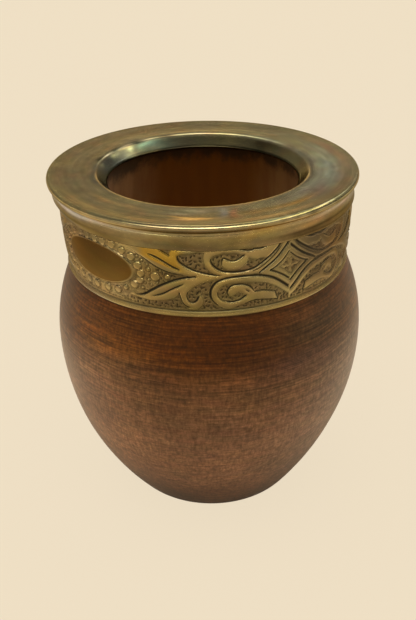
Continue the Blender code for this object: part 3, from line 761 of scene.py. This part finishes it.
def stippling(across, up):
    """Short punch marks that wander over the sunk grounds: depth from 0 to 1."""
    column = np.floor(across / MARK_PITCH).astype(int)
    row = np.floor(up / MARK_PITCH).astype(int)
    columns = round(360 * DEGREE / MARK_PITCH)
    table = np.random.default_rng(21).uniform(size=(columns + 4, 40, 4))
    marks = np.zeros(across.shape)
    for right in (-1, 0, 1):
        for above in (-1, 0, 1):
            chosen = table[(column + right) % columns, (row + above) % 40]
            x = across - (column + right + 0.5 + 0.7 * (chosen[..., 0] - 0.5)) * MARK_PITCH
            y = up - (row + above + 0.5 + 0.7 * (chosen[..., 1] - 0.5)) * MARK_PITCH
            angle = math.pi * chosen[..., 2]
            size = 0.75 + 0.6 * chosen[..., 3]
            along = x * np.cos(angle) + y * np.sin(angle)
            beside = y * np.cos(angle) - x * np.sin(angle)
            marks = np.maximum(marks, bell(along, 0, 0.46 * size) * bell(beside, 0, 0.22))
    return ease((marks - 0.2) / 0.6)


def from_lozenge(degree):
    """Degrees from the nearest lozenge."""
    away = np.stack([wrapped(degree - lozenge) for lozenge in LOZENGE_TURNS])
    nearest = np.abs(away).argmin(axis=0)
    return np.take_along_axis(away, nearest[None], axis=0)[0]


def border(height):
    """The lower border's level and darkness: a groove, a flat bead, a fine line and a rounded edge."""
    level = 0.16 * ease((BORDER_GROOVE - 0.06 - height) / 1.5)
    level = level - 0.3 * bell(height, BORDER_GROOVE, 0.24) - 0.06 * bell(height, BORDER_LINE, 0.14)
    return level, 0.95 * bell(height, BORDER_GROOVE - 0.08, 0.3) + 0.35 * bell(height, BORDER_LINE, 0.13)


def collar_band():
    """The band, its chasing repeated round it, with its flat back."""
    # Finer where the camera sees it
    degrees = np.concatenate([np.arange(-78, 78, 0.25), np.arange(78, 282, 0.375)])
    heights = np.concatenate([[BAND_FOOT, BAND_FOOT + 0.1], np.linspace(BAND_FOOT + 0.25, BAND_TOP, 80)])
    degree, height = np.meshgrid(degrees, heights)
    turns = np.radians(degree)
    side = wrapped(degree)
    away = from_lozenge(degree)
    lean = MIRROR_LEAN * (height - FIELD_MIDDLE) * hump(away / 32)
    place = LOZENGE_TURNS[0] + np.where(away < 0, away, -away - lean)

    # The chasing wanders a little away from the front
    behind = ease((np.abs(side) - 32) / 20)
    sideways = ripple(turns, height, 31, waves=12, counts=(6, 24), pace=0.5)
    upwards = ripple(turns, height, 32, waves=12, counts=(6, 24), pace=0.5)
    across = place * DEGREE + 0.16 * sideways * behind
    up = height + 0.14 * upwards * behind * ease(height - 74.2)
    layers = Chart().read(across, up)
    relief, sunk, dark = layers
    polish = ease((place + 25) / 4) * ease((-6 - place) / 5)
    polish = polish * ease((height - FIELD_MIDDLE + 0.25 * (place + 5)) / 0.5) * (1 - sunk)
    plain = np.zeros(height.shape)
    ringed = np.zeros(height.shape)
    for oval in OVAL_TURNS:
        offset = wrapped(degree - oval)
        mirror = -1 if oval > 0 else 1
        near = np.abs(offset) < OVAL_REACH
        reach = np.hypot(offset / OVAL_HALF_WIDTH, (height - OVAL_HEIGHT) / OVAL_HALF_HEIGHT)
        gap = (reach - 1) * OVAL_HALF_HEIGHT
        on_oval = ease((0.35 - gap) / 0.5) * near
        layers *= 1 - on_oval
        relief += on_oval * (0.1 * hump(reach) - 0.02)
        relief += near * (0.05 * bell(gap, 0.05, 0.18) - 0.09 * bell(gap, 0.5, 0.25))
        np.maximum(dark, near * 0.35 * bell(gap, 0.5, 0.22), out=dark)
        plain = np.maximum(plain, on_oval * ease((0.1 - gap) / 0.35))
        for at, level, radius in RING_BOSSES:
            distance = np.hypot((offset - mirror * at) * DEGREE, height - level)
            close = distance < radius + 0.6
            part = layers[:, close]
            add_boss(*part, distance[close], radius, rise=0.1, shade=0.45)
            layers[:, close] = part
        ringed = np.maximum(ringed, near * ease((1.66 - reach) / 0.12))

    # The sunk grounds are marked all over, less so round the ovals and where the band is worn
    worn = 1 - 0.55 * ease((-side - 24) / 12) - 0.55 * ease((side - 36) / 14)
    below = ease((BORDER_TOP - height) / 0.3)
    edge = ease((np.abs(side) - 20) / 30)
    level, edge_dark = border(height)
    marks = stippling(degree % 360 * DEGREE, height) * sunk * (1 - 0.8 * ringed) * worn * (1 - below)
    sunk = sunk * (1 - 0.45 * ringed) * worn * (1 - below) + 0.25 * below
    dark = np.maximum(dark * worn * (1 - below), edge_dark * (1 - 0.6 * edge))
    relief = relief * (1 - below) + level + 0.12 * edge * bell(height, 72.2, 0.22) - MARK_DEPTH * marks
    radius = BAND_TOP_RADIUS - BAND_FOOT_TAPER * ((TAPER_START - height) / TAPER_HEIGHT) ** 2 + relief
    radius[0] = radius[1] - 0.12
    outer = ring_points(radius, height, turns)
    share = (height - BAND_FOOT) / (BAND_TOP - BAND_FOOT)
    outer[..., 0] += BAND_OFFSETS[0] + (BAND_OFFSETS[1] - BAND_OFFSETS[0]) * share
    ends = np.array([[BAND_TOP], [BAND_FOOT]]) + 0 * turns[:2]
    inner = ring_points(BAND_INNER_RADIUS, ends, turns[:2])
    piece = skin("collar_band", np.vstack([outer, inner]), closed=True)
    give_tint(piece, stains_and_painted_light(degree, height, BAND_STAINS_AND_PAINTED_LIGHT, 3, 0.5))
    names = ("sunk", "dark", "marks", "polish", "plain")
    for name, values in zip(names, (sunk, dark, marks, polish, plain)):
        give_values(piece, name, values)
    return piece


def solder_seam():
    """The thin line of solder where the skirt meets the band, sunk and open in places."""
    turns = np.linspace(0, math.tau, SEAM_STEPS, endpoint=False)
    side = wrapped(np.degrees(turns))
    wave = ripple(turns, 0 * turns, 41, waves=20, counts=(6, 40))
    openings = 0.25 * ease(wave) + bell(side, 16.5, 6.5) + bell(side, -28, 4.5)
    open_share = np.clip(openings, 0, 1)
    section = np.array(SEAM_SECTION)
    radius = SEAM_RADIUS + section[:, :1] - SEAM_SINK * open_share
    height = SEAM_HEIGHT + section[:, 1:] + SEAM_WAVE * wave
    points = ring_points(radius, height, turns)
    points[..., 0] += BAND_OFFSETS[1]
    piece = skin("solder_seam", points, closed=True)
    give_values(piece, "dark", np.tile(open_share, (len(section), 1)))
    return piece


# Materials. Their lengths are in metres.

# Wood colours by height: the low part lighter as painted light, the shoulder and the foot darker as painted
# shade
WOOD_LOW_LIT = (0.315, 0.14, 0.062)
WOOD_BELLY = (0.2, 0.082, 0.028)
WOOD_SHOULDER_SHADED = (0.115, 0.031, 0.003)
WOOD_FOOT_SHADED = (0.25, 0.11, 0.044)
# The inside's colours: its sides lighter, the right less so, as painted light, and its top darker as
# painted shade under the lip
INSIDE_FAR = (0.21, 0.066, 0.003)
INSIDE_SIDES_LIT = (0.47, 0.24, 0.09)
INSIDE_RIGHT_LIT = (0.24, 0.11, 0.015)
INSIDE_STREAKS = (0.16, 0.045, 0.004)
INSIDE_TOP_SHADE = (0.035, 0.022, 0.01)
RIM_BRIGHT = (0.56, 0.42, 0.18)
RIM_DULL = (0.47, 0.36, 0.175)
RIM_BLUSH = (1.12, 0.88, 0.8)
BAND_BRIGHT = (0.68, 0.49, 0.18)
BAND_DULL = (0.54, 0.42, 0.185)
BAND_POLISHED = (0.76, 0.47, 0.075)
BAND_PLAIN = (0.195, 0.094, 0.014)
BAND_SUNK = (0.3, 0.213, 0.098)
# Near-black for the chasing's hollows: dark patina, partly painted shade
BAND_GRIME_AND_SHADE = (0.017, 0.012, 0.005)
SEAM_BRIGHT = (0.46, 0.34, 0.14)
SEAM_DULL = (0.38, 0.28, 0.12)
SEAM_DARK = (0.02, 0.013, 0.005)
BRASS_EDGE = (0.85, 0.76, 0.56)

# A mix node's two values and its result, by the kind of data
MIX_SOCKETS = {"FLOAT": (2, 3, 0), "VECTOR": (4, 5, 1), "RGBA": (6, 7, 2)}


class Tree:
    """A node tree, with short calls for the nodes that the materials and the stage share."""

    def __init__(self, tree):
        self.tree = tree

    def give(self, node, values):
        """Sets a node's sockets, or links them to other nodes' outputs."""
        for name, value in dict(values).items():
            socket = node.inputs[name]
            if isinstance(value, bpy.types.NodeSocket):
                self.tree.links.new(value, socket)
            elif socket.type == "RGBA":
                socket.default_value = (*value, 1)
            else:
                socket.default_value = value

    def node(self, kind, values=(), **settings):
        """A new node's outputs."""
        node = self.tree.nodes.new("ShaderNode" + kind)
        for name, value in settings.items():
            setattr(node, name, value)
        self.give(node, values)
        return node.outputs

    def maths(self, operation, *values, clamp=False):
        return self.node("Math", enumerate(values), operation=operation, use_clamp=clamp)[0]

    def product(self, first, *others):
        for other in others:
            first = self.maths("MULTIPLY", first, other)
        return first

    def fit(self, value, low, high, to_low=0, to_high=1):
        """A value that eases from one level to another while the given one goes from low to high."""
        values = {"Value": value, "From Min": low, "From Max": high, "To Min": to_low, "To Max": to_high}
        return self.node("MapRange", values, interpolation_type="SMOOTHSTEP")["Result"]

    def mix(self, share, first, second, kind="RGBA", blend="MIX"):
        start, end, result = MIX_SOCKETS[kind]
        values = {0: share, start: first, end: second}
        return self.node("Mix", values, data_type=kind, blend_type=blend)[result]

    def tinted(self, colour, tint):
        return self.mix(1, colour, tint, blend="MULTIPLY")

    def shaded(self, colour, *shades):
        shade = self.product(*shades)
        return self.tinted(colour, self.vector(shade, shade, shade))

    def vector(self, x, y, z):
        return self.node("CombineXYZ", {0: x, 1: y, 2: z})[0]

    def noise(self, vector, scale, detail=3, roughness=0.5, distortion=0):
        values = {"Vector": vector, "Scale": scale, "Detail": detail}
        values.update({"Roughness": roughness, "Distortion": distortion})
        return self.node("TexNoise", values)["Fac"]

    def ramp(self, value, stops, easing="LINEAR"):
        """A colour by a value, from stops of the value and its colour."""
        made = self.tree.nodes.new("ShaderNodeValToRGB")
        made.color_ramp.interpolation = easing
        self.tree.links.new(value, made.inputs[0])
        elements = made.color_ramp.elements
        while len(elements) < len(stops):
            elements.new(0.5)
        for element, (at, colour) in zip(elements, stops):
            element.position = at
            element.color = (*colour, 1)
        return made.outputs["Color"]


class Surface(Tree):
    """A new material's node tree."""

    def __init__(self, name):
        self.material = bpy.data.materials.new(name)
        self.material.use_nodes = True
        super().__init__(self.material.node_tree)
        self.shader = self.tree.nodes["Principled BSDF"]
        self.place = self.node("TexCoord")["Object"]

    def look(self, values):
        """The material, with its shader's sockets set."""
        self.give(self.shader, values)
        return self.material

    def attribute(self, name, output="Fac"):
        return self.node("Attribute", attribute_name=name)[output]

    def stretched(self, scale, shift=(0, 0, 0)):
        return self.node("Mapping", {"Vector": self.place, "Scale": scale, "Location": shift})[0]

    def radius(self, middle):
        """The distance from an upright axis."""
        x, y, _ = self.node("SeparateXYZ", {0: self.place})
        x = self.maths("SUBTRACT", x, middle)
        return self.maths("SQRT", self.maths("ADD", self.product(x, x), self.product(y, y)))

    def bump(self, height, distance, strength):
        return self.node("Bump", {"Height": height, "Distance": distance, "Strength": strength})[0]


def wood_material():
    n = Surface("turned_wood")
    x, y, height = n.node("SeparateXYZ", {0: n.place})
    warp = n.product(n.noise(n.place, 40, 2), 0.0013)
    wavy = n.vector(x, y, n.maths("ADD", height, warp))

    def grain(across, up, detail=3, roughness=0.6):
        scaled = n.node("Mapping", {"Vector": wavy, "Scale": (across, across, up)})[0]
        return n.noise(scaled, 1, detail, roughness)

    # The outside: its colour by height, lighter low down as painted light and darker at the shoulder and
    # foot as painted shade, then by stains and painted light, shaded by the grain, with turning lines on
    # the upper part and strands on the lower
    fine = grain(55, 2500, 4, 0.65)
    bands = grain(24, 900, 4)
    dashes = grain(480, 1300)
    pores = grain(1500, 420)
    strands = n.fit(grain(900, 150), 0.3, 0.7, -0.12, 0.12)
    speckle = n.noise(n.place, 2600, 2, 0.6)
    clouds = n.noise(n.place, 60, 4, 0.6)
    base = n.mix(n.fit(height, 0.03, 0.057), WOOD_LOW_LIT, WOOD_BELLY)
    base = n.mix(n.fit(height, 0.051, 0.062), base, WOOD_SHOULDER_SHADED)
    base = n.mix(n.fit(height, 0.018, 0.004), base, WOOD_FOOT_SHADED)
    base = n.tinted(base, n.attribute("tint", "Color"))
    lines = n.product(n.fit(fine, 0.3, 0.66, 1.42, 0.52), n.fit(bands, 0.36, 0.66, 1.1, 0.8))
    high = n.fit(height, 0.038, 0.062, 0.3, 1)
    low = n.fit(height, 0.052, 0.03)
    base = n.shaded(
        base,
        n.fit(clouds, 0.3, 0.7, 0.84, 1.16),
        n.fit(dashes, 0.28, 0.72, 0.72, 1.28),
        n.fit(pores, 0.28, 0.72, 0.72, 1.28),
        n.fit(speckle, 0.3, 0.7, 0.88, 1.12),
        n.maths("ADD", 1, n.product(low, strands)),
        n.maths("ADD", 1, n.product(high, n.maths("SUBTRACT", lines, 1))),
    )

    # The inside: streaked, lighter at its sides as painted light, and dark in a ragged ring at the top as
    # painted shade under the lip
    inside = n.product(n.fit(n.radius(0), 0.0325, 0.0315), n.fit(height, 0.01, 0.013))
    upright = n.noise(n.stretched((260, 260, 22)), 1, 3, 0.6)
    ragged = n.noise(n.stretched((150, 150, 110)), 1, 4, 0.7)
    sideways = n.maths("MAXIMUM", n.fit(n.maths("ABSOLUTE", x), 0.012, 0.026), n.fit(y, 0.012, -0.01))
    lining = n.mix(sideways, INSIDE_FAR, INSIDE_SIDES_LIT)
    lining = n.mix(n.fit(x, 0.006, 0.026, 0, 0.5), lining, INSIDE_RIGHT_LIT)
    lining = n.mix(n.fit(upright, 0.4, 0.62, 0, 0.35), lining, INSIDE_STREAKS)
    edge = n.maths("ADD", height, n.fit(ragged, 0.3, 0.7, -0.0018, 0.0018))
    lining = n.mix(n.fit(edge, 0.0862, 0.0905, 0, 0.85), lining, INSIDE_TOP_SHADE)
    relief = n.maths("ADD", n.product(fine, 0.5), n.product(dashes, 0.5))
    return n.look(
        {
            "Base Color": n.mix(inside, base, lining),
            "Roughness": n.fit(height, 0.045, 0.062, 0.5, 0.62),
            "Specular IOR Level": 0.22,
            "Specular Tint": (1, 0.8, 0.5),
            "Sheen Weight": 0.35,
            "Sheen Roughness": 0.45,
            "Sheen Tint": (1, 0.88, 0.74),
            "Normal": n.bump(relief, 0.00006, 0.5),
        }
    )


def dulled_brass(n, dull_share, seed, bright, dull):
    """Brass that has gone dull in clouds: its colour and roughness."""
    clouds = n.noise(n.stretched((1, 1, 1), (seed, 0, 0)), 55, 4, 0.6, 0.4)
    stains = n.noise(n.stretched((1, 1, 1), (0, seed, 0)), 110)
    base = n.mix(n.fit(clouds, 0.35, 0.65), bright, dull)
    darker = [0.72 * part for part in dull]
    base = n.mix(n.product(n.fit(stains, 0.52, 0.68), dull_share), base, darker)
    n.give(n.shader, {"Specular Tint": BRASS_EDGE})
    return base, n.fit(stains, 0.35, 0.7, 0.19, 0.23)


def rim_material():
    n = Surface("brass_sheet")
    base, rough = dulled_brass(n, 0.4, 3, RIM_BRIGHT, RIM_DULL)
    rings = n.noise(n.vector(0, 0, n.radius(RIM_OFFSET * MM)), 900, 2)
    mottle = n.noise(n.stretched((240, 240, 480)), 1, 6, 0.75)
    blush = n.noise(n.stretched((130, 130, 330), (0, 0, 5)), 1, 4, 0.6)
    base = n.shaded(base, n.fit(mottle, 0.3, 0.7, 0.87, 1.13), n.fit(rings, 0.3, 0.7, 0.93, 1.07))
    base = n.mix(n.fit(blush, 0.5, 0.68, 0, 0.45), base, n.tinted(base, RIM_BLUSH))
    return n.look(
        {
            "Base Color": n.tinted(base, n.attribute("tint", "Color")),
            "Metallic": 1,
            "Roughness": n.maths("ADD", rough, n.product(rings, 0.05)),
            "Normal": n.bump(rings, 0.000006, 0.5),
        }
    )


def band_material():
    n = Surface("chased_brass")
    base, rough = dulled_brass(n, 0.5, 7, BAND_BRIGHT, BAND_DULL)
    base = n.mix(n.attribute("polish"), base, BAND_POLISHED)
    base = n.mix(n.product(n.attribute("plain"), 0.9), base, BAND_PLAIN)
    base = n.mix(n.product(n.attribute("sunk"), 0.85), base, BAND_SUNK)
    base = n.tinted(base, n.attribute("tint", "Color"))
    # The punch marks and the dark layer darken the cuts, boss grooves and pocket edges: patina there, and
    # partly painted shade
    marks = n.product(n.attribute("marks"), 0.95)
    grime_and_shade = n.maths("MAXIMUM", marks, n.attribute("dark"), clamp=True)
    return n.look(
        {
            "Base Color": n.mix(grime_and_shade, base, BAND_GRIME_AND_SHADE),
            "Metallic": n.maths("SUBTRACT", 1, n.product(grime_and_shade, 0.6), clamp=True),
            "Roughness": n.maths("ADD", rough, n.product(grime_and_shade, 0.25)),
            "Normal": n.bump(n.noise(n.place, 2600, 3, 0.6), 0.00002, 0.4),
        }
    )


def seam_material():
    n = Surface("solder")
    base, rough = dulled_brass(n, 0.8, 9, SEAM_BRIGHT, SEAM_DULL)
    dark = n.attribute("dark")
    return n.look(
        {
            "Base Color": n.mix(n.product(dark, 0.95), base, SEAM_DARK),
            "Metallic": n.maths("SUBTRACT", 1, n.product(dark, 0.7)),
            "Roughness": n.maths("ADD", rough, 0.1),
        }
    )


def dress(piece, material, node=None):
    piece.data.materials.append(material)
    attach(piece, "root")
    if node is not None:
        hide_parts(node)


dress(turned_cup(), wood_material(), "wood_body")
dress(collar_rim(), rim_material(), "brass_rim")
dress(collar_band(), band_material(), "chased_band")
dress(solder_seam(), seam_material())


# Stage. Its lengths are in metres.

CREAM = (0.839, 0.723, 0.546)
FLOOR_WIDTH = 8
FLOOR_GLOW = 0.965
FLOOR_COLOUR = (0.05, 0.043, 0.032)

# How brightly the floor lights the cup, and how it shows in polished metal towards the camera and away from
# it and at the sides, by the distance from the cup's axis: dim under the belly
FLOOR_REACH = 0.6
FLOOR_LIGHT = (
    (0.026, 0.05), (0.045, 0.2), (0.062, 0.62), (0.11, 0.85), (0.17, 0.62), (0.26, 0.5), (0.6, 0.7),
)
FRONT_FLOOR = (
    (0.026, 0.05), (0.045, 0.15), (0.065, 0.25), (0.12, 0.22), (0.17, 0.36), (0.236, 0.5), (0.35, 0.56),
    (0.6, 0.5),
)
SIDE_FLOOR = (
    (0.026, 0.08), (0.045, 0.16), (0.06, 0.45), (0.09, 1), (0.13, 1.15), (0.17, 0.55), (0.26, 0.34),
    (0.38, 0.8), (0.6, 0.9),
)

# The studio's soft light, and what shows in polished metal: colours by the sine of the elevation that
# they come from, from below to overhead
SOFT_LIGHT = (
    (-1, (0.6, 0.52, 0.39)),
    (-0.1, (0.4, 0.34, 0.26)),
    (0.1, (0.28, 0.26, 0.22)),
    (0.7, (0.15, 0.15, 0.13)),
    (0.92, (2.4, 2.26, 1.94)),
)
SHOWN_LIGHT = (
    (-1, (0.66, 0.58, 0.42)),
    (-0.5, (0.42, 0.37, 0.26)),
    (-0.2, (0.22, 0.19, 0.14)),
    (0.1, (0.13, 0.12, 0.1)),
    (0.6, (0.12, 0.12, 0.1)),
    (1, (0.22, 0.22, 0.2)),
)

# How much more of the soft light comes from the left than from the right, and from both than from the front
LEFT_BIAS = 0.6
SIDE_BIAS = 1.2

# Soft glows that show in metal: turn and elevation, half width and half height, all in degrees, then
# strength and tint
GLOWS = (
    (0, 35, 24, 4, 10, (1, 0.98, 0.86)),
    (180, 30, 45, 24, 0.14, (1, 0.97, 0.88)),
    (180, 57, 8, 7, 4.5, (1, 0.98, 0.86)),
    (181, 3, 10, 5, 1.3, (1, 0.74, 0.4)),
    (158, 33, 3.5, 3, 6, (0.85, 0.95, 1)),
    (138, 40, 4, 3, 5, (0.9, 0.97, 1)),
    (108, 40, 7, 3, 7, (1, 0.95, 0.6)),
    (75, 38, 9, 3, 7, (1, 0.95, 0.6)),
    (92, 58, 8, 6, 0.9, (0.6, 0.95, 1)),
)


def floor():
    bpy.ops.mesh.primitive_plane_add(size=FLOOR_WIDTH, location=(0, 0, 0))
    plane = bpy.context.object
    plane.name = "floor"
    n = Surface("floor")
    place = n.node("NewGeometry")["Position"]
    far = n.node("VectorMath", {0: place}, operation="LENGTH")["Value"]
    far = n.maths("MULTIPLY", far, 1 / FLOOR_REACH, clamp=True)
    facing = n.node("VectorMath", {0: place}, operation="NORMALIZE")[0]
    forward = n.node("VectorMath", {0: facing, 1: (0, -1, 0)}, operation="DOT_PRODUCT")["Value"]
    in_front = n.fit(n.maths("ABSOLUTE", forward), 0.35, 0.95)
    side, front, lighting = [
        n.ramp(far, [(at / FLOOR_REACH, (light, light, light)) for at, light in stops])
        for stops in (SIDE_FLOOR, FRONT_FLOOR, FLOOR_LIGHT)
    ]
    ray = n.node("LightPath")
    glow = n.mix(ray["Is Diffuse Ray"], n.mix(in_front, side, front), lighting, "FLOAT")
    material = n.look(
        {
            "Base Color": FLOOR_COLOUR,
            "Roughness": 1,
            "Specular IOR Level": 0,
            "Emission Color": CREAM,
            "Emission Strength": n.mix(ray["Is Camera Ray"], glow, FLOOR_GLOW, "FLOAT"),
        }
    )
    material.cycles.emission_sampling = "NONE"
    plane.data.materials.append(material)


def direction(turn, elevation):
    turn, elevation = math.radians(turn), math.radians(elevation)
    level = math.cos(elevation)
    return (level * math.sin(turn), -level * math.cos(turn), math.sin(elevation))


def studio():
    """Soft light from all round, and a plain cream background where the camera sees past the floor."""
    made = bpy.data.worlds.new("studio")
    bpy.context.scene.world = made
    made.use_nodes = True
    made.cycles.sampling_method = "NONE"
    n = Tree(made.node_tree)
    way = n.node("TexCoord")["Generated"]
    across, _, height = n.node("SeparateXYZ", {0: way})
    level = n.node("MapRange", {"Value": height, "From Min": -1})["Result"]

    def by_level(stops):
        return n.ramp(level, [((sine + 1) / 2, light) for sine, light in stops], "EASE")

    def towards(turn, elevation):
        values = {0: way, 1: direction(turn, elevation)}
        return n.node("VectorMath", values, operation="DOT_PRODUCT")["Value"]

    total = by_level(SHOWN_LIGHT)
    for turn, elevation, width, tall, strength, tint in GLOWS:
        wide = 1 / math.radians(width) ** 2
        narrow = 1 / math.radians(tall) ** 2
        above = towards(turn, elevation + 90)
        away = n.maths("SUBTRACT", towards(turn, elevation), 1)
        power = n.maths("ADD", n.product(away, wide), n.product(above, above, (wide - narrow) / 2))
        shown = {0: [part * strength for part in tint], "Scale": n.maths("EXPONENT", power)}
        light = n.node("VectorMath", shown, operation="SCALE")[0]
        total = n.node("VectorMath", {0: total, 1: light}, operation="ADD")[0]
    ray = n.node("LightPath")
    slope = n.maths("MULTIPLY_ADD", across, SIDE_BIAS, -LEFT_BIAS)
    bias = n.maths("MULTIPLY_ADD", across, slope, 1)
    soft = n.node("VectorMath", {0: by_level(SOFT_LIGHT), "Scale": bias}, operation="SCALE")[0]
    total = n.mix(ray["Is Diffuse Ray"], total, soft, "VECTOR")
    total = n.mix(ray["Is Camera Ray"], total, CREAM, "VECTOR")
    n.give(n.tree.nodes["Background"], {"Color": total})


def camera():
    made = bpy.data.cameras.new("camera")
    made.lens = CAMERA_LENS
    made.sensor_width = SENSOR_WIDTH
    made.clip_start = 0.01
    made.clip_end = 20
    eye = bpy.data.objects.new("camera", made)
    bpy.context.scene.collection.objects.link(eye)
    tilt = Matrix.Rotation(math.radians(90 - CAMERA_PITCH), 4, "X")
    roll = Matrix.Rotation(math.radians(CAMERA_ROLL), 4, "Z")
    eye.matrix_world = Matrix.Translation(CAMERA_PLACE) @ tilt @ roll
    bpy.context.scene.camera = eye


floor()
studio()
camera()
bpy.context.scene.view_settings.view_transform = "Standard"
